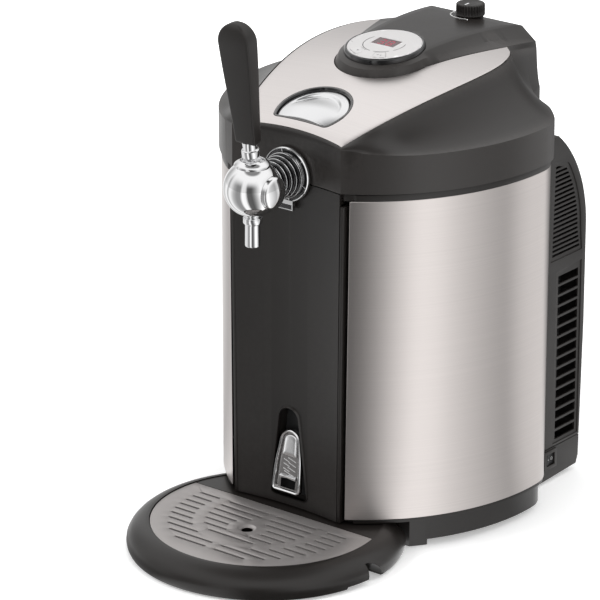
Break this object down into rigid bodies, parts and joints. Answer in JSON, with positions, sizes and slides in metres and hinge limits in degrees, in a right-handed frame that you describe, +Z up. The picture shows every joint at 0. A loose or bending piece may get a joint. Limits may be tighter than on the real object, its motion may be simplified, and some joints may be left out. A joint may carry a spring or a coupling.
{
  "type": "mini keg beer dispenser",
  "caption": "Counter-top cooler for a small party keg: round steel body, hinged lid with control disc and gas knob, lever tap on the front, and a round drip tray with a lift-out grille.",
  "frame": {"origin": "centre of the bounding box's footprint, on the surface it stands on", "axes": "+Z up, -Y to the tap and the drip tray at the front, +X to the right of someone who faces the tap"},
  "size_m": [0.319, 0.464, 0.5153],
  "materials": {
    "black": "satin black moulding",
    "dark": "matt dark moulding",
    "steel": "brushed sheet steel",
    "chrome": "chromed",
    "silver": "silver lacquered moulding",
    "alloy": "bare alloy",
    "foam": "rigid foam",
    "white": "pale moulding",
    "board": "circuit board",
    "rubber": "soft rubber",
    "window": "tinted window",
    "grille": "satin grey metal",
    "ceramic": "white ceramic",
    "gas": "plated steel"
  },
  "bodies": {
    "cabinet": {"base": "black", "rubber_feet": "rubber", "base_screws": "chrome", "well_stand": "dark", "front_panel": "black", "corner_trim_left": "black", "corner_trim_right": "black", "bottle_opener": "chrome", "side_wrap_left": "steel", "side_wrap_right": "steel", "rear_housing": "black", "fan_grille": "black", "deck_ring": "black", "keg_well": "alloy", "foam_jacket": "foam", "cold_block": "alloy", "peltier_module": "ceramic", "heat_sink": "alloy", "fan_frame": "dark", "circuit_board": "board", "power_supply": "alloy", "mains_inlet": "dark", "switch_bezel": "black", "hinge_base": "black", "hinge_pin": "chrome", "hook_catch": "steel", "tap_shank": "dark", "tap_body": "chrome", "tap_bonnet": "chrome", "tap_side_cap": "chrome", "tap_spout": "chrome", "beer_hose": "white", "keg_coupler": "white"},
    "lid": {"hinge_knuckle": "black", "lid_shell": "black", "lid_plate": "steel", "lid_pan": "dark", "lid_liner": "white", "lid_seal": "rubber", "disc_bezel": "black", "control_disc": "silver", "display_window": "window", "control_board": "board", "gas_regulator": "alloy", "gas_cartridge": "gas", "button_spring": "chrome"},
    "button": {"lid_button": "chrome"},
    "hook": {"lid_hook": "dark"},
    "left_key": {"key_left": "silver"},
    "right_key": {"key_right": "silver"},
    "knob": {"pressure_knob": "black", "knob_spindle": "alloy"},
    "lever": {"tap_lever": "chrome", "tap_handle": "black"},
    "plug": {"valve_plug": "alloy"},
    "locking_ring": {"tap_locking_ring": "chrome"},
    "rocker": {"rocker_switch": "dark"},
    "rotor": {"fan_rotor": "dark"},
    "tray": {"drip_tray": "black"},
    "grille": {"drip_grille": "grille"}
  },
  "joints": [
    {"name": "lid_hinge", "type": "hinge", "parent": "cabinet", "child": "lid", "pos_m": [0, 0.2272, 0.348], "axis": [-1, 0, 0], "range_deg": [0, 80]},
    {"name": "button_slide", "type": "slide", "parent": "lid", "child": "button", "axis": [0, 0, -1], "range_m": [0, 0.0035], "stiffness_N_per_m": 900, "springref_m": -0.002, "deforming": ["button_spring"]},
    {"name": "hook_slide", "type": "slide", "parent": "lid", "child": "hook", "axis": [0, 1, 0], "range_m": [0, 0.0035]},
    {"name": "left_key_press", "type": "slide", "parent": "lid", "child": "left_key", "axis": [0, 0.1132, -0.9936], "range_m": [0, 0.001], "stiffness_N_per_m": 400, "springref_m": -0.0005},
    {"name": "right_key_press", "type": "slide", "parent": "lid", "child": "right_key", "axis": [0, 0.1132, -0.9936], "range_m": [0, 0.001], "stiffness_N_per_m": 400, "springref_m": -0.0005},
    {"name": "pressure_turn", "type": "hinge", "parent": "lid", "child": "knob", "pos_m": [0, 0.209, 0.44], "axis": [0, 0, 1], "range_deg": [0, 270]},
    {"name": "lever_tilt", "type": "hinge", "parent": "cabinet", "child": "lever", "pos_m": [0, -0.1196, 0.372], "axis": [1, 0, 0], "range_deg": [-18, 4]},
    {"name": "plug_slide", "type": "slide", "parent": "cabinet", "child": "plug", "axis": [0, 1, 0], "range_m": [-0.0055, 0.0013]},
    {"name": "ring_swing", "type": "hinge", "parent": "cabinet", "child": "locking_ring", "pos_m": [0, -0.072, 0.3555], "axis": [0, 1, 0], "range_deg": [0, 60]},
    {"name": "switch_rock", "type": "hinge", "parent": "cabinet", "child": "rocker", "pos_m": [0.119, 0.18, 0.0245], "axis": [0, 0, -1], "range_deg": [0, 14]},
    {"name": "rotor_spin", "type": "hinge", "parent": "cabinet", "child": "rotor", "pos_m": [0, 0.218, 0.2], "axis": [0, 1, 0], "continuous": true},
    {"name": "tray_slide", "type": "slide", "parent": "cabinet", "child": "tray", "axis": [0, -1, 0], "range_m": [0, 0.15]},
    {"name": "grille_lift", "type": "slide", "parent": "tray", "child": "grille", "axis": [0, 0, 1], "range_m": [0, 0.12]}
  ],
  "couplings": [
    {"joint": "plug_slide", "follows": "lever_tilt", "m_per_rad": 0.0165},
    {"joint": "hook_slide", "follows": "button_slide", "ratio": 1}
  ]
}
